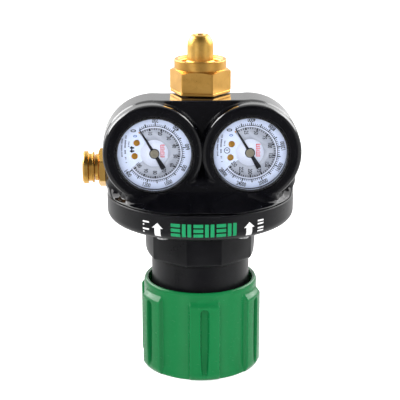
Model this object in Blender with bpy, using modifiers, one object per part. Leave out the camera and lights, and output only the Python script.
"""Single-stage two-gauge gas regulator, stood on its adjusting knob with the cylinder inlet up.

Metres, +Z up along the main axis, dials facing -Y, relief valve on -X, hose outlet on +Y.
The origin is the centre of the knob's flat end. Sizes are given in mm and scaled by MM.
"""

import math

import bmesh
import bpy
from mathutils import Matrix, Vector

MM = 0.001
ORIGIN = (0, 0, 0)

# Cylinder nut and nipple
NUT_AF = 28.575          # 1-1/8 in hexagon
NUT_BORE_R = 11.47       # 0.903 in thread
NUT_FOOT = 154.6
NUT_HEX_Z = (156.4, 166.6)
NUT_TOP = 172.5
NUT_COLLAR_R = 14.05
NUT_NECK_R = 13.9
NUT_TURN = -9.0          # rest angle of the hexagon, degrees
NIPPLE_R = 6.9
NIPPLE_TOP = 185.3

# Housing and gauges
HOUSING_Z = (100.1, 154.2)
HOUSING_R = 51.0
GAUGE_X = 25.0
GAUGE_Z = 127.3
GAUGE_SIDES = (("left", -GAUGE_X), ("right", GAUGE_X))
FACE_Y = -22.0           # flat front face of the housing
RIM_R = 24.3             # raised rim around each gauge
LIP_Y = -31.2            # front of the raised rims
LOBE_R = 27.0
CUP_R = 20.4
CUP_FLOOR_Y = -11.0
CASE_R = 20.1
DIAL_R = 19.35
POINTER_ZERO = -30.5     # degrees clockwise from up
SECTOR_ARM = 11.2        # dial axis down to the sector's pivot
SECTOR_LEAN = 22.5       # degrees towards +X
PINION_R = 1.45
SECTOR_GAP = 0.15
TUBE_R = 15.4            # centreline of the Bourdon tube

# Spring case
RING_Z = (85.8, 99.8)
RING_R = HOUSING_R
HUB_R = 30.9
HUB_FOOT = 64.5
BARREL_R = 27.0
BARREL_END = 24.0
SPRING_BORE_R = 23.5
SCREW_COUNT = 6
SCREW_PCD_R = 41.5

# Knob; rib widths and turn are in degrees
KNOB_TOP = 50.4
KNOB_R = 31.2
KNOB_BORE_R = 28.8
RIB_FOOT = 0.8
RIB_TOP = 45.3
RIB_R = 33.45
RIB_COUNT = 6
RIB_WIDTH = 32.0
GROOVE_WIDTH = 8.0
RIB_TURN = 2.0

# Relief valve and outlet
SIDE_Z = 112.6
SIDE_Y = 2.0
SIDE_HEX_AF = 18.8
RELIEF_AT = (0, SIDE_Y, SIDE_Z)
OUTLET_AT = (0, 0, SIDE_Z)

# Stepped bore of the brass core from the top down: (radius, z)
CORE_BORE = [(7.6, 141.6), (2.5, 141.6), (2.5, 122.5), (4.4, 122.5), (4.4, 109.6), (5.9, 109.6)]

FINISHES = {
    "brass": dict(colour=(0.72, 0.50, 0.20), roughness=0.25, metallic=1.0),
    "gloss_black": dict(colour=(0.012, 0.012, 0.014), roughness=0.12, metallic=0.0),
    "satin_black": dict(colour=(0.018, 0.018, 0.020), roughness=0.38, metallic=0.0),
    "green": dict(colour=(0.02, 0.27, 0.10), roughness=0.25, metallic=0.0),
    "steel": dict(colour=(0.55, 0.55, 0.56), roughness=0.30, metallic=1.0),
    "spring_steel": dict(colour=(0.30, 0.30, 0.32), roughness=0.35, metallic=1.0),
    "rubber": dict(colour=(0.03, 0.03, 0.03), roughness=0.8, metallic=0.0),
    "dial_white": dict(colour=(0.83, 0.86, 0.92), roughness=0.45, metallic=0.0),
    "pointer_black": dict(colour=(0.02, 0.02, 0.02), roughness=0.4, metallic=0.0),
    "glass": dict(colour=(0.9, 0.95, 0.95), roughness=0.05, metallic=0.0),
    "bronze": dict(colour=(0.45, 0.28, 0.14), roughness=0.6, metallic=1.0),
}

# Turns local +Z to the named direction
AXES = {
    "Z": Matrix.Identity(4),
    "X": Matrix.Rotation(math.radians(90), 4, "Y"),
    "-X": Matrix.Rotation(math.radians(-90), 4, "Y"),
    "Y": Matrix.Rotation(math.radians(-90), 4, "X"),
    "-Y": Matrix.Rotation(math.radians(90), 4, "X"),
}

for thing in list(bpy.data.objects):
    bpy.data.objects.remove(thing, do_unlink=True)
for old in list(bpy.data.collections):
    bpy.data.collections.remove(old)

regulator = bpy.data.collections.new("gas_regulator")
cutters = bpy.data.collections.new("cutters")
bpy.context.scene.collection.children.link(regulator)
bpy.context.scene.collection.children.link(cutters)


# Materials, shading and collections

def material(name, colour, roughness, metallic):
    mat = bpy.data.materials.new(name)
    mat.use_nodes = True
    shader = mat.node_tree.nodes["Principled BSDF"]
    shader.inputs["Base Color"].default_value = (*colour, 1.0)
    shader.inputs["Roughness"].default_value = roughness
    shader.inputs["Metallic"].default_value = metallic
    mat.diffuse_color = (*colour, 1.0)
    return mat


def paint(obj, finish):
    """Gives the object its own material."""
    obj.data.materials.append(material(obj.name + "_finish", **FINISHES[finish]))


def smooth(mesh, angle=35):
    mesh.shade_smooth()
    mesh.set_sharp_from_angle(angle=math.radians(angle))


def as_cutter(obj):
    cutters.objects.link(obj)
    obj.hide_render = True
    obj.display_type = "WIRE"
    return obj


def as_part_or_cutter(obj, finish):
    """A finish makes the object a visible part; without one it is a cutter."""
    if not finish:
        return as_cutter(obj)
    paint(obj, finish)
    regulator.objects.link(obj)
    return obj


# Points and placing

def polar(radius, degrees):
    angle = math.radians(degrees)
    return radius * math.cos(angle), radius * math.sin(angle)


def from_front(radius, degrees):
    """Plan point at an angle from -Y towards +X."""
    angle = math.radians(degrees)
    return radius * math.sin(angle), -radius * math.cos(angle)


def arc(r, z, radius, start, end, count):
    """Profile points on a fillet: centre (r, z), angles in degrees from +r towards +z."""
    offsets = [polar(radius, start + (end - start) * i / count) for i in range(count + 1)]
    return [(r + across, z + up) for across, up in offsets]


def placed(axis, at, turn=0.0):
    """Puts local +Z along the axis from a point in mm, turned about itself in degrees."""
    spin = Matrix.Rotation(math.radians(turn), 4, "Z")
    return Matrix.Translation(Vector(at) * MM) @ AXES[axis] @ spin


# Booleans

def boolean(obj, other, operation, solver="EXACT"):
    mod = obj.modifiers.new(f"{operation.title()} {other.name}", "BOOLEAN")
    mod.operation = operation
    mod.solver = solver
    mod.object = other


def join(obj, *others, solver="EXACT"):
    for other in others:
        boolean(obj, other, "UNION", solver)


def cut(obj, *others, solver="EXACT"):
    for other in others:
        boolean(obj, other, "DIFFERENCE", solver)


def as_mesh(obj):
    """Replaces the object by one that holds its evaluated mesh, welded."""
    bpy.context.view_layer.update()
    graph = bpy.context.evaluated_depsgraph_get()
    mesh = bpy.data.meshes.new_from_object(obj.evaluated_get(graph))
    work = bmesh.new()
    work.from_mesh(mesh)
    bmesh.ops.remove_doubles(work, verts=work.verts, dist=1e-6)
    bmesh.ops.recalc_face_normals(work, faces=work.faces)
    work.to_mesh(mesh)
    work.free()
    name, place, home = obj.name, obj.matrix_world.copy(), list(obj.users_collection)
    hidden, shown = obj.hide_render, obj.display_type
    bpy.data.objects.remove(obj, do_unlink=True)
    mesh.name = name
    new = bpy.data.objects.new(name, mesh)
    new.matrix_world = place
    for collection in home:
        collection.objects.link(new)
    new.hide_render, new.display_type = hidden, shown
    return new


def settled(obj):
    """Applies the Booleans so far and merges the slivers and flat splits that they leave."""
    obj = as_mesh(obj)
    sliver = 0.004 * MM
    flat = math.radians(0.4)
    work = bmesh.new()
    work.from_mesh(obj.data)
    bmesh.ops.remove_doubles(work, verts=work.verts, dist=sliver)
    bmesh.ops.dissolve_degenerate(work, dist=sliver, edges=work.edges)
    bmesh.ops.dissolve_limit(work, angle_limit=flat, verts=work.verts, edges=work.edges)
    bmesh.ops.triangulate(work, faces=work.faces)
    work.to_mesh(obj.data)
    work.free()
    smooth(obj.data)
    return obj


# Shapes: all take mm; profiles are lists of (radius, height along the axis)

def mesh_object(name, work):
    mesh = bpy.data.meshes.new(name)
    work.to_mesh(mesh)
    work.free()
    return bpy.data.objects.new(name, mesh)


def turned(name, profile, steps, finish=None, axis="Z", at=ORIGIN, turn=0.0):
    """A turned solid.

    A profile whose ends are both on the axis is left open; any other is closed into a ring.
    """
    verts = [(r * MM, 0, z * MM) for r, z in profile]
    edges = [(i, i + 1) for i in range(len(verts) - 1)]
    if not (profile[0][0] == 0 and profile[-1][0] == 0):
        edges.append((len(verts) - 1, 0))
    mesh = bpy.data.meshes.new(name)
    mesh.from_pydata(verts, edges, [])
    obj = bpy.data.objects.new(name, mesh)
    obj.matrix_world = placed(axis, at, turn)
    screw = obj.modifiers.new("Turn", "SCREW")
    screw.axis = "Z"
    screw.angle = 2 * math.pi
    screw.steps = steps
    screw.render_steps = steps
    screw.use_merge_vertices = True
    screw.merge_threshold = 0.00001
    screw.use_smooth_shade = True
    return as_part_or_cutter(obj, finish)


def block(name, low, high, bevel=0.0, segments=2):
    """A box cutter or blank from its two corners."""
    work = bmesh.new()
    bmesh.ops.create_cube(work, size=1.0)
    size = [(b - a) * MM for a, b in zip(low, high)]
    bmesh.ops.scale(work, vec=size, verts=work.verts)
    obj = mesh_object(name, work)
    obj.location = [(a + b) / 2 * MM for a, b in zip(low, high)]
    if bevel:
        mod = obj.modifiers.new("Round", "BEVEL")
        mod.width = bevel * MM
        mod.segments = segments
    return as_cutter(obj)


def rod(name, radius, start, end, steps=24):
    """A cylinder cutter between two points."""
    a, b = Vector(start), Vector(end)
    work = bmesh.new()
    bmesh.ops.create_cone(
        work, cap_ends=True, segments=steps, radius1=radius * MM, radius2=radius * MM,
        depth=(b - a).length * MM,
    )
    obj = mesh_object(name, work)
    turn = (b - a).normalized().to_track_quat("Z", "Y").to_matrix().to_4x4()
    obj.matrix_world = Matrix.Translation((a + b) / 2 * MM) @ turn
    return as_cutter(obj)


def hexagon(
    name, across, low, high, chamfer, finish=None, axis="Z", at=ORIGIN, turn=0.0, both=False
):
    """A hexagonal prism, corners turned off by a 30 degree cone at its high end or at both."""
    corner = across / math.sqrt(3)
    work = bmesh.new()
    bmesh.ops.create_cone(
        work, cap_ends=True, segments=6, radius1=corner * MM, radius2=corner * MM,
        depth=(high - low) * MM,
    )
    bmesh.ops.translate(work, vec=(0, 0, (low + high) / 2 * MM), verts=work.verts)
    obj = mesh_object(name, work)
    obj.matrix_world = placed(axis, at, turn)
    as_part_or_cutter(obj, finish)

    flat = across / 2 - chamfer
    drop = corner - across / 2 + chamfer + 0.5
    rise = drop * math.tan(math.radians(30))
    profile = [(0, high + 0.001), (flat, high + 0.001), (flat + drop, high - rise)]
    if both:
        profile += [(flat + drop, low + rise), (flat, low - 0.001), (0, low - 0.001)]
    else:
        profile += [(flat + drop, low - 1), (0, low - 1)]
    boolean(obj, turned(name + "_chamfer", profile, 36, None, axis, at), "INTERSECT")
    return obj


def add_line(curve, points):
    """Adds straight runs through (x, y, z) points to a curve."""
    spline = curve.splines.new("POLY")
    spline.points.add(len(points) - 1)
    for point, (x, y, z) in zip(spline.points, points):
        point.co = (x * MM, y * MM, z * MM, 1)
    return spline


def outline(name, contours, thickness, finish=None, axis="Z", at=ORIGIN):
    """A flat plate from closed contours of (x, y) points, centred on its plane."""
    curve = bpy.data.curves.new(name, "CURVE")
    curve.dimensions = "2D"
    curve.fill_mode = "BOTH"
    curve.extrude = thickness / 2 * MM
    for contour in contours:
        add_line(curve, [(x, y, 0) for x, y in contour]).use_cyclic_u = True
    obj = bpy.data.objects.new(name, curve)
    obj.matrix_world = placed(axis, at)
    if not finish:
        return as_mesh(as_cutter(obj))
    regulator.objects.link(obj)
    obj = as_mesh(obj)
    paint(obj, finish)
    smooth(obj.data)
    return obj


def wire_along(name, points, radius, finish, axis="Z", at=ORIGIN):
    """A capped round bar along a run of (x, y, z) points."""
    curve = bpy.data.curves.new(name, "CURVE")
    curve.dimensions = "3D"
    curve.bevel_depth = radius * MM
    curve.bevel_resolution = 1
    curve.use_fill_caps = True
    add_line(curve, points)
    obj = bpy.data.objects.new(name, curve)
    obj.matrix_world = placed(axis, at)
    regulator.objects.link(obj)
    obj = as_mesh(obj)
    paint(obj, finish)
    smooth(obj.data)


def coil(name, radius, wire, bottom, top, turns, per_turn, axis="Z", at=ORIGIN):
    """A compression spring with closed ends; bottom and top are the wire's outer limits.

    radius is that of the coil's centreline, wire that of the wire itself.
    """
    last = int(turns * per_turn)
    low, high, flat = bottom + wire, top - wire, 2.2 * wire
    points = []
    for i in range(last + 1):
        turned_by = turns * i / last
        if turned_by < 1:
            z = low + flat * turned_by
        elif turned_by > turns - 1:
            z = high - flat * (turns - turned_by)
        else:
            z = low + flat + (high - low - 2 * flat) * (turned_by - 1) / (turns - 2)
        angle = 2 * math.pi * turned_by
        points.append((radius * math.cos(angle), radius * math.sin(angle), z))
    wire_along(name, points, wire, "spring_steel", axis, at)


# Inlet

def inlet_nut():
    """Cylinder nut, which turns freely on the nipple's shoulder."""
    hex_foot, hex_top = NUT_HEX_Z
    nut = hexagon("inlet_nut", NUT_AF, hex_foot, hex_top, 0.6, "brass", turn=30 + NUT_TURN)
    collar = turned(
        "nut_collar",
        [
            (0, NUT_TOP), (NUT_COLLAR_R - 0.6, NUT_TOP), (NUT_COLLAR_R, NUT_TOP - 0.6),
            (NUT_COLLAR_R, hex_top - 1), (0, hex_top - 1),
        ],
        24,
    )
    neck = turned(
        "nut_neck",
        [
            (0, hex_foot + 1), (NUT_NECK_R, hex_foot + 1), (NUT_NECK_R, NUT_FOOT + 0.5),
            (NUT_NECK_R - 0.5, NUT_FOOT), (0, NUT_FOOT),
        ],
        24,
    )
    bore = turned(
        "nut_bore",
        [
            (0, 174), (NUT_BORE_R + 0.8, 174), (NUT_BORE_R + 0.8, NUT_TOP),
            (NUT_BORE_R, NUT_TOP - 0.8), (NUT_BORE_R, 160.2), (7.7, 160.2), (7.7, 153), (0, 153),
        ],
        24,
    )
    join(nut, collar, neck)
    cut(nut, bore)
    settled(nut)


def inlet_nipple():
    profile = [(2.4, NIPPLE_TOP - 0.4), (2.8, NIPPLE_TOP), (4.0, NIPPLE_TOP)]
    profile += arc(0.0, 178.2, NIPPLE_R, 55, 0, 4)[1:]
    profile += [
        (NIPPLE_R, 171.6), (8.6, 170.2), (10.3, 169.6), (10.7, 169.0), (10.7, 161.0),
        (10.4, 160.6), (7.3, 160.6), (7.3, 142.5), (6.8, 142.0), (4.4, 142.0), (4.4, 152.4),
        (2.4, 154.0),
    ]
    turned("inlet_nipple", profile, 16, "brass")


def inlet_filter():
    profile = [
        (0, 151.6), (3.6, 151.6), (4.0, 151.2), (4.0, 143.0), (3.6, 142.6), (2.2, 142.6),
        (2.2, 149.4), (0, 149.4),
    ]
    turned("inlet_filter", profile, 12, "bronze")


# Housing

def screw_place(index):
    """Plan position of one of the bonnet screws."""
    return from_front(SCREW_PCD_R, 30 + 60 * index)


def housing_blank():
    """Round foot, two gauge barrels lying along Y, web and flat crown between them."""
    foot_round = 4.4
    housing = turned(
        "body_housing",
        [(0, 118.0), (22.0, 118.0), (33.0, 112.5), (41.0, 107.6), (46.0, 105.4)]
        + arc(HOUSING_R - foot_round, 101.0, foot_round, 60, 0, 3)
        + [(HOUSING_R, HOUSING_Z[0]), (0, HOUSING_Z[0])],
        32,
        "gloss_black",
        turn=1.3,
    )
    wall_x = GAUGE_X + LOBE_R - 0.02
    walls = block(
        "side_walls", (-wall_x, FACE_Y + 0.05, 100.8), (wall_x, 9.0, GAUGE_Z), 2.0, 1
    )
    join(housing, walls, solver="MANIFOLD")

    back_round = 13.0
    barrel_profile = [(0, 22.0), (12.0, 22.0)]
    barrel_profile += arc(LOBE_R - back_round, 9.0, back_round, 70, 0, 4)
    barrel_profile += [
        (LOBE_R, FACE_Y + 2.4), (LOBE_R - 0.8, FACE_Y + 0.7), (LOBE_R - 2.2, FACE_Y),
        (RIM_R, FACE_Y), (RIM_R, LIP_Y + 1.6), (RIM_R - 1.2, LIP_Y), (21.4, LIP_Y),
        (19.8, LIP_Y + 1.6), (0, LIP_Y + 1.6),
    ]
    for label, x in GAUGE_SIDES:
        barrel = turned(
            f"barrel_{label}", barrel_profile, 28, axis="Y", at=(x, 0, GAUGE_Z), turn=1.7
        )
        join(housing, barrel, solver="MANIFOLD")

    web_x = GAUGE_X - 0.7
    web = block("web", (-web_x, FACE_Y + 0.02, 104), (web_x, 17.3, HOUSING_Z[1]), 2.4)
    join(housing, web, solver="MANIFOLD")
    return settled(housing)


def cut_gauge_cups(housing):
    for label, x in GAUGE_SIDES:
        cup = rod(f"cup_{label}", CUP_R, (x, -40, GAUGE_Z), (x, CUP_FLOOR_Y, GAUGE_Z), 28)
        stem = rod(f"stem_way_{label}", 5.1, (x, -12, GAUGE_Z), (x, -5, GAUGE_Z), 16)
        cut(housing, cup, stem, solver="MANIFOLD")
    return settled(housing)


def cut_core_pocket(housing):
    """Pocket for the brass core, open at the foot, with the way up for the inlet."""
    cut(
        housing,
        rod("inlet_way", 10.4, (0, 0, 99), (0, 0, 160)),
        rod("flange_way", 36.4, (0, 0, 99), (0, 0, 104.4), 32),
        block("bar_way", (-31.4, -6.9, 99), (31.4, 16.9, 134.3)),
        solver="MANIFOLD",
    )
    return settled(housing)


def cut_side_ways(housing):
    """Ways out for the relief valve and the outlet, and the blind screw holes in the foot."""
    cut(
        housing,
        rod("relief_way", 7.2, (-60, SIDE_Y, SIDE_Z), (-10, SIDE_Y, SIDE_Z), 20),
        rod("relief_seat", 11.4, (-60, SIDE_Y, SIDE_Z), (-51.1, SIDE_Y, SIDE_Z)),
        rod("outlet_way", 7.9, (0, 10, SIDE_Z), (0, 60, SIDE_Z), 20),
        solver="MANIFOLD",
    )
    hole = [(0, 103.4), (2.5, 103.4), (2.5, 99), (0, 99)]
    for index in range(SCREW_COUNT):
        x, y = screw_place(index)
        way = turned(f"screw_way_{index}", hole, 8, at=(x, y, 0), turn=7 + 60 * index)
        cut(housing, way, solver="MANIFOLD")
    return settled(housing)


def body_housing():
    housing = housing_blank()
    housing = cut_gauge_cups(housing)
    housing = cut_core_pocket(housing)
    cut_side_ways(housing)


# Core, valve and diaphragm

def valve_core():
    """Brass core: flange over the diaphragm, valve block, cross bar that feeds the gauges."""
    profile = [
        (7.6, 150.4), (9.4, 150.4), (10.0, 149.8), (10.0, 104.2), (35.4, 104.2), (36.0, 103.6),
        (36.0, 100.4), (30.0, 100.4), (30.0, 102.2), (5.9, 102.2),
    ]
    core = turned("valve_core", profile + CORE_BORE[::-1], 16, "brass")
    join(
        core,
        block("valve_block", (-19, -6.5, 103.8), (19, 16.5, 120.0)),
        block("gauge_bar", (-31, -6.5, 119.4), (31, 7.5, 133.9)),
    )
    bore = [(0, 156), (7.6, 156)] + CORE_BORE + [(5.9, 99), (0, 99)]
    cut(core, turned("core_bore", bore, 20))
    for label, x in GAUGE_SIDES:
        cut(core, rod(f"socket_way_{label}", 4.8, (x, -8, GAUGE_Z), (x, 1.0, GAUGE_Z)))
    cut(
        core,
        rod("high_passage", 1.2, (0.5, 0, GAUGE_Z), (GAUGE_X + 1, 0, GAUGE_Z), 10),
        rod("relief_thread", 6.9, (-20, SIDE_Y, SIDE_Z), (-9.5, SIDE_Y, SIDE_Z), 20),
        rod("relief_passage", 1.2, (-12, SIDE_Y, 101), (-12, SIDE_Y, SIDE_Z), 10),
        rod("outlet_thread", 7.6, (0, 9.5, SIDE_Z), (0, 18, SIDE_Z), 20),
        rod("outlet_passage", 1.6, (0, 12, 101), (0, 12, SIDE_Z), 10),
    )
    settled(core)


def valve():
    """Seat nozzle from below, poppet above it, pushed shut by its spring."""
    nozzle = [
        (1.5, 109.2), (2.6, 109.2), (3.4, 108.4), (5.6, 108.4), (5.6, 103.0), (1.5, 103.0),
    ]
    poppet = [
        (0, 116.0), (1.6, 116.0), (1.6, 113.6), (3.9, 113.6), (3.9, 109.6), (1.0, 109.6),
        (1.0, 101.1), (0, 101.1),
    ]
    turned("seat_nozzle", nozzle, 16, "brass")
    turned("valve_poppet", poppet, 16, "steel")
    coil("poppet_spring", radius=2.9, wire=0.45, bottom=113.9, top=122.1, turns=4.5, per_turn=7)


def diaphragm_stack():
    """Rubber diaphragm with one convolution, the plate under it and a slip ring at its edge."""
    diaphragm = [
        (0, 99.9), (20.0, 99.9), (22.5, 99.2), (27.5, 99.2), (29.5, 99.9), (35.9, 99.9),
        (35.9, 98.9), (29.9, 98.9), (27.9, 98.2), (22.1, 98.2), (19.6, 98.9), (0, 98.9),
    ]
    plate = [
        (0, 98.6), (18.4, 98.6), (19.0, 98.0), (19.0, 94.2), (18.4, 93.6), (12.6, 93.6),
        (12.6, 90.6), (12.0, 90.0), (0, 90.0),
    ]
    slip_ring = [(31.0, 98.6), (35.9, 98.6), (35.9, 98.2), (31.0, 98.2)]
    turned("diaphragm", diaphragm, 16, "rubber")
    turned("diaphragm_plate", plate, 16, "steel")
    turned("slip_ring", slip_ring, 20, "steel")


# Spring case

def bonnet():
    """Hub, plain barrel, and flange under the diaphragm."""
    hub_round = 3.6
    profile = [(24.5, 97.9), (35.4, 97.9), (35.9, 97.4), (35.9, 93.0), (HUB_R, 93.0)]
    profile += [(HUB_R, HUB_FOOT + hub_round)]
    profile += arc(HUB_R - hub_round, HUB_FOOT + hub_round, hub_round, -30, -90, 2)
    profile += [
        (BARREL_R, HUB_FOOT), (BARREL_R, BARREL_END + 1.0), (BARREL_R - 1.0, BARREL_END),
        (12.2, BARREL_END), (12.2, BARREL_END + 4.0), (SPRING_BORE_R, BARREL_END + 4.0),
        (SPRING_BORE_R, 96.9),
    ]
    turned("bonnet", profile, 24, "satin_black")


def bonnet_ring():
    """Ring that carries the bonnet's flange, with its screws up into the housing."""
    foot, top = RING_Z
    foot_round = 5.0
    profile = [
        (36.3, top), (RING_R - 0.5, top), (RING_R, top - 0.5), (RING_R, foot + foot_round),
    ]
    profile += arc(RING_R - foot_round, foot + foot_round, foot_round, -25, -90, 3)
    profile += [(31.9, foot), (31.3, foot + 0.6), (31.3, 92.6), (36.3, 92.6)]
    ring = turned("bonnet_ring", profile, 32, "satin_black")

    screw = [
        (0, 103.0), (2.1, 103.0), (2.1, 85.5), (3.3, 85.5), (3.3, 83.3), (2.8, 82.7),
        (1.7, 82.7), (1.5, 83.9), (0, 83.9),
    ]
    for index in range(SCREW_COUNT):
        x, y = screw_place(index)
        cut(ring, rod(f"ring_hole_{index}", 2.5, (x, y, 84), (x, y, 101), 8))
        turned(f"bonnet_screw_{index + 1}", screw, 10, "steel", at=(x, y, 0))


# Adjusting spring train

def thrust_ball():
    work = bmesh.new()
    bmesh.ops.create_uvsphere(work, u_segments=12, v_segments=8, radius=2.5 * MM)
    ball = mesh_object("thrust_ball", work)
    smooth(ball.data, 60)
    ball.location = (0, 0, 40.6 * MM)
    as_part_or_cutter(ball, "steel")


def adjusting_train():
    """From the top down: spring, its button, ball, screw, and the bush the screw runs in."""
    button = [
        (0, 51.0), (12.0, 51.0), (12.6, 50.4), (12.6, 47.0), (17.0, 47.0), (17.6, 46.4),
        (17.6, 43.4), (6.0, 42.6), (6.0, 41.2), (2.8, 41.2), (2.8, 43.4), (0, 43.4),
    ]
    screw = [
        (0, 37.8), (4.7, 37.8), (5.5, 37.0), (5.5, 7.4), (5.0, 6.9), (2.7, 6.9), (2.7, 17.0),
        (0, 17.0),
    ]
    bush = [
        (5.8, 35.0), (8.4, 35.0), (9.0, 34.4), (9.0, 31.0), (14.0, 31.0), (14.5, 30.5),
        (14.5, 28.3), (11.9, 28.3), (11.9, 23.7), (5.8, 23.7),
    ]
    coil("adjusting_spring", radius=15.2, wire=1.8, bottom=47.3, top=93.3, turns=6.0, per_turn=10)
    turned("spring_button", button, 16, "steel")
    thrust_ball()
    turned("adjusting_screw", screw, 16, "steel")
    turned("screw_bush", bush, 16, "brass")


# Knob

def rib_contour():
    """Plan of the ribbed band: each rib is a pair of lands with a groove between them."""
    land = (RIB_WIDTH - GROOVE_WIDTH) / 2
    # (degrees from the land's start, radius)
    land_points = (
        (0.0, 30.6), (0.8, 32.6), (2.6, RIB_R),
        (land - 2.6, RIB_R), (land - 0.8, 32.6), (land, 30.6),
    )
    points = []
    for index in range(RIB_COUNT):
        middle = RIB_TURN + 360 / RIB_COUNT * index
        for start in (-RIB_WIDTH / 2, GROOVE_WIDTH / 2):
            for offset, radius in land_points:
                points.append(from_front(radius, middle + start + offset))
    return points


def rib_band():
    inner = [polar(29.6, 15 * i) for i in range(24)]
    ribs = outline(
        "rib_band", [rib_contour(), inner], RIB_TOP - RIB_FOOT, at=(0, 0, (RIB_TOP + RIB_FOOT) / 2)
    )
    envelope = turned(
        "rib_envelope",
        [(0, RIB_TOP), (31.6, RIB_TOP), (33.1, RIB_TOP - 1.4), (33.5, RIB_TOP - 3.2), (33.5, 3.2)]
        + arc(30.5, 3.2, 3.0, -45, -90, 1)
        + [(0, 0.2)],
        32,
    )
    boolean(ribs, envelope, "INTERSECT")
    return ribs


def knob():
    """Skirt over the barrel, six double ribs, boss on the adjusting screw; cap and screw."""
    foot_round = 2.6
    profile = [
        (KNOB_BORE_R, KNOB_TOP - 0.6), (KNOB_BORE_R + 0.5, KNOB_TOP), (30.2, KNOB_TOP),
        (31.0, KNOB_TOP - 0.9), (KNOB_R, KNOB_TOP - 2.4), (KNOB_R, foot_round),
    ]
    profile += arc(KNOB_R - foot_round, foot_round, foot_round, -30, -90, 2)
    profile += [
        (14.4, 0), (14.4, 1.8), (5.2, 1.8), (5.2, 5.4), (2.9, 5.4), (2.9, 6.6), (5.9, 6.6),
        (5.9, 15.0), (9.5, 15.0), (10.5, 6.0), (KNOB_BORE_R - 2.0, 6.0), (KNOB_BORE_R, 8.0),
    ]
    body = turned("knob", profile, 32, "green")
    join(body, rib_band())
    settled(body)

    cap = [(0, 1.5), (13.6, 1.5), (14.0, 1.1), (14.0, 0.0), (0, 0.0)]
    screw = [(0, 15.5), (2.4, 15.5), (2.4, 5.1), (4.7, 5.1), (4.7, 3.2), (3.6, 2.1), (0, 2.1)]
    turned("knob_cap", cap, 20, "green")
    turned("knob_screw", screw, 16, "steel")


# Relief valve, on the left; heights in profiles are along -X

def relief_body():
    profile = [
        (4.6, 57.2), (7.25, 57.2), (7.25, 51.6), (6.6, 51.6), (6.6, 10.4), (6.0, 9.8),
        (1.6, 9.8), (1.6, 34.0), (4.6, 34.0),
    ]
    body = turned("relief_body", profile, 16, "brass", "-X", RELIEF_AT)
    flats = hexagon(
        "relief_hex", SIDE_HEX_AF, 51.4, 55.4, 0.5, axis="-X", at=RELIEF_AT, turn=30.0
    )
    cut(flats, rod("relief_hex_way", 5.6, (-50, SIDE_Y, SIDE_Z), (-60, SIDE_Y, SIDE_Z), 32))
    join(body, flats)


def relief_cap():
    """Mushroom cap with a stem down inside the body and three vents in its neck."""
    profile = [
        (0, 64.0), (7.7, 64.0), (8.95, 63.2), (8.95, 61.1), (8.5, 60.7), (7.6, 60.6),
        (7.6, 58.7), (8.4, 58.6), (8.55, 58.4), (8.55, 57.7), (8.3, 57.5), (4.2, 57.5),
        (4.2, 48.0), (2.6, 48.0), (2.6, 61.5), (0, 61.5),
    ]
    cap = turned("relief_cap", profile, 16, "brass", "-X", RELIEF_AT)
    vent_x = -59.65
    for index, angle in enumerate((100, 220, 340)):
        y, z = polar(10, angle)
        start, end = (vent_x, SIDE_Y, SIDE_Z), (vent_x, SIDE_Y + y, SIDE_Z + z)
        cut(cap, rod(f"vent_{index}", 0.75, start, end, 10))


def relief_valve():
    relief_body()
    relief_cap()
    disc = [(0, 38.0), (1.6, 38.0), (1.6, 36.6), (3.9, 36.6), (3.9, 34.3), (0, 34.3)]
    turned("relief_disc", disc, 12, "steel", "-X", RELIEF_AT)
    coil(
        "relief_spring", radius=3.2, wire=0.5, bottom=36.9, top=47.7, turns=4.5, per_turn=7,
        axis="-X", at=RELIEF_AT,
    )


def outlet_fitting():
    """Hose outlet, at the back: cone seat, thread and hexagon; heights are along +Y."""
    profile = [
        (2.2, 70.6), (3.0, 71.6), (6.3, 71.6), (7.14, 70.8), (7.14, 58.8), (6.3, 58.2),
        (6.3, 54.0), (7.3, 54.0), (7.3, 10.4), (6.7, 9.8), (2.2, 9.8),
    ]
    fitting = turned("outlet_fitting", profile, 16, "brass", "Y", OUTLET_AT)
    flats = hexagon(
        "outlet_hex", SIDE_HEX_AF, 51.4, 57.4, 0.5, axis="Y", at=OUTLET_AT, both=True
    )
    cut(flats, rod("outlet_hex_way", 4.0, (0, 50, SIDE_Z), (0, 60, SIDE_Z), 20))
    join(fitting, flats)


# Gauges; heights in profiles are along +Y

def gauge_shell(tag, at):
    """Case, lens, dial and the arbor with its pinion."""
    wall_r = DIAL_R + 0.35
    case = [
        (4.9, -11.3), (CASE_R - 1.0, -11.3), (CASE_R, -12.3), (CASE_R, -29.3),
        (wall_r, -29.3), (wall_r, -12.5), (19.0, -11.9), (4.9, -11.9),
    ]
    lens = [(0, -28.0), (DIAL_R, -28.0), (DIAL_R, -28.9), (18.6, -29.2), (0, -29.2)]
    dial = [(1.1, -25.6), (DIAL_R, -25.6), (DIAL_R, -26.1), (1.1, -26.1)]
    arbor = [
        (0, -16.9), (0.6, -16.9), (0.6, -21.2), (PINION_R, -21.2), (PINION_R, -22.8),
        (0.6, -22.8), (0.6, -26.5), (0, -26.5),
    ]
    turned(f"{tag}_gauge_case", case, 20, "pointer_black", "Y", at)
    turned(f"{tag}_gauge_lens", lens, 20, "glass", "Y", at)
    turned(f"{tag}_gauge_dial", dial, 20, "dial_white", "Y", at)
    turned(f"{tag}_gauge_arbor", arbor, 8, "brass", "Y", at)


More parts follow.
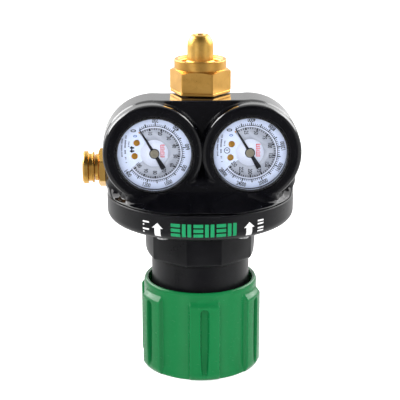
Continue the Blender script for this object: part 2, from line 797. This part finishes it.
def gauge_socket(tag, x, z):
    """Block that carries the tube, with its stem in the core's bar."""
    stem = [(1.2, -1.0), (3.9, -1.0), (4.4, -1.5), (4.4, -16.4), (1.2, -16.4)]
    socket = turned(f"{tag}_gauge_socket", stem, 14, "brass", "Y", (x, 0, z))
    foot_low, foot_high = (x - 4, -16.6, z - 17.4), (x + 4, -12.3, z - 2.2)
    post_low, post_high = (x - 1.9, -20.5, z - 17.2), (x + 1.9, -16.0, z - 13.6)
    join(
        socket,
        block(f"{tag}_socket_foot", foot_low, foot_high, 0.6, 1),
        block(f"{tag}_socket_post", post_low, post_high),
    )


def bourdon_tube(tag, x, z):
    """Round C about the dial's axis, from the socket's post up the +X side and over."""
    count = 16
    points = [(*polar(TUBE_R, -76 + 252 * i / count), 0) for i in range(count + 1)]
    wire_along(f"{tag}_bourdon_tube", points, 1.25, "bronze", "-Y", (x, -18.5, z))


def sector_gear(tag, x, z):
    """Toothless sector on its pivot below the dial's axis, leaning to +X at zero."""
    rim, root, neck, hub = SECTOR_ARM - PINION_R - SECTOR_GAP, 6.4, 2.6, 2.0
    # (radius, degrees from the sector's middle)
    stations = [(rim, offset) for offset in range(-26, 27, 4)]
    stations += [(root, 24), (root, 14), (neck, 24)]
    stations += [(hub, offset) for offset in range(60, 301, 30)]
    stations += [(neck, -24), (root, -14), (root, -24)]
    shape = [polar(radius, 90 - SECTOR_LEAN + offset) for radius, offset in stations]
    outline(f"{tag}_sector_gear", [shape], 0.9, "brass", "-Y", (x, -22.0, z - SECTOR_ARM))


def pointer(tag, x, z):
    """Needle with a flared tail and a round boss."""
    # (distance along the needle, half width) from tip to tail
    side = [(15.3, 0.12), (2.2, 0.62)]
    side += [polar(1.55, degrees) for degrees in range(30, 151, 20)]
    side += [(-4.0, 0.95), (-9.4, 1.9)]
    contour = side + [(along, -half) for along, half in reversed(side)]
    zero = math.radians(90 - POINTER_ZERO)
    shape = [
        (
            along * math.cos(zero) - half * math.sin(zero),
            along * math.sin(zero) + half * math.cos(zero),
        )
        for along, half in contour
    ]
    outline(f"{tag}_pointer", [shape], 0.3, "pointer_black", "-Y", (x, -26.95, z))


def gauge(tag, x):
    """One 40 mm gauge in its cup, dial facing -Y."""
    gauge_shell(tag, (x, 0, GAUGE_Z))
    gauge_socket(tag, x, GAUGE_Z)
    bourdon_tube(tag, x, GAUGE_Z)
    sector_gear(tag, x, GAUGE_Z)
    pointer(tag, x, GAUGE_Z)


inlet_nut()
inlet_nipple()
inlet_filter()
body_housing()
valve_core()
valve()
diaphragm_stack()
bonnet()
bonnet_ring()
adjusting_train()
knob()
relief_valve()
outlet_fitting()
gauge("low", -GAUGE_X)
gauge("high", GAUGE_X)
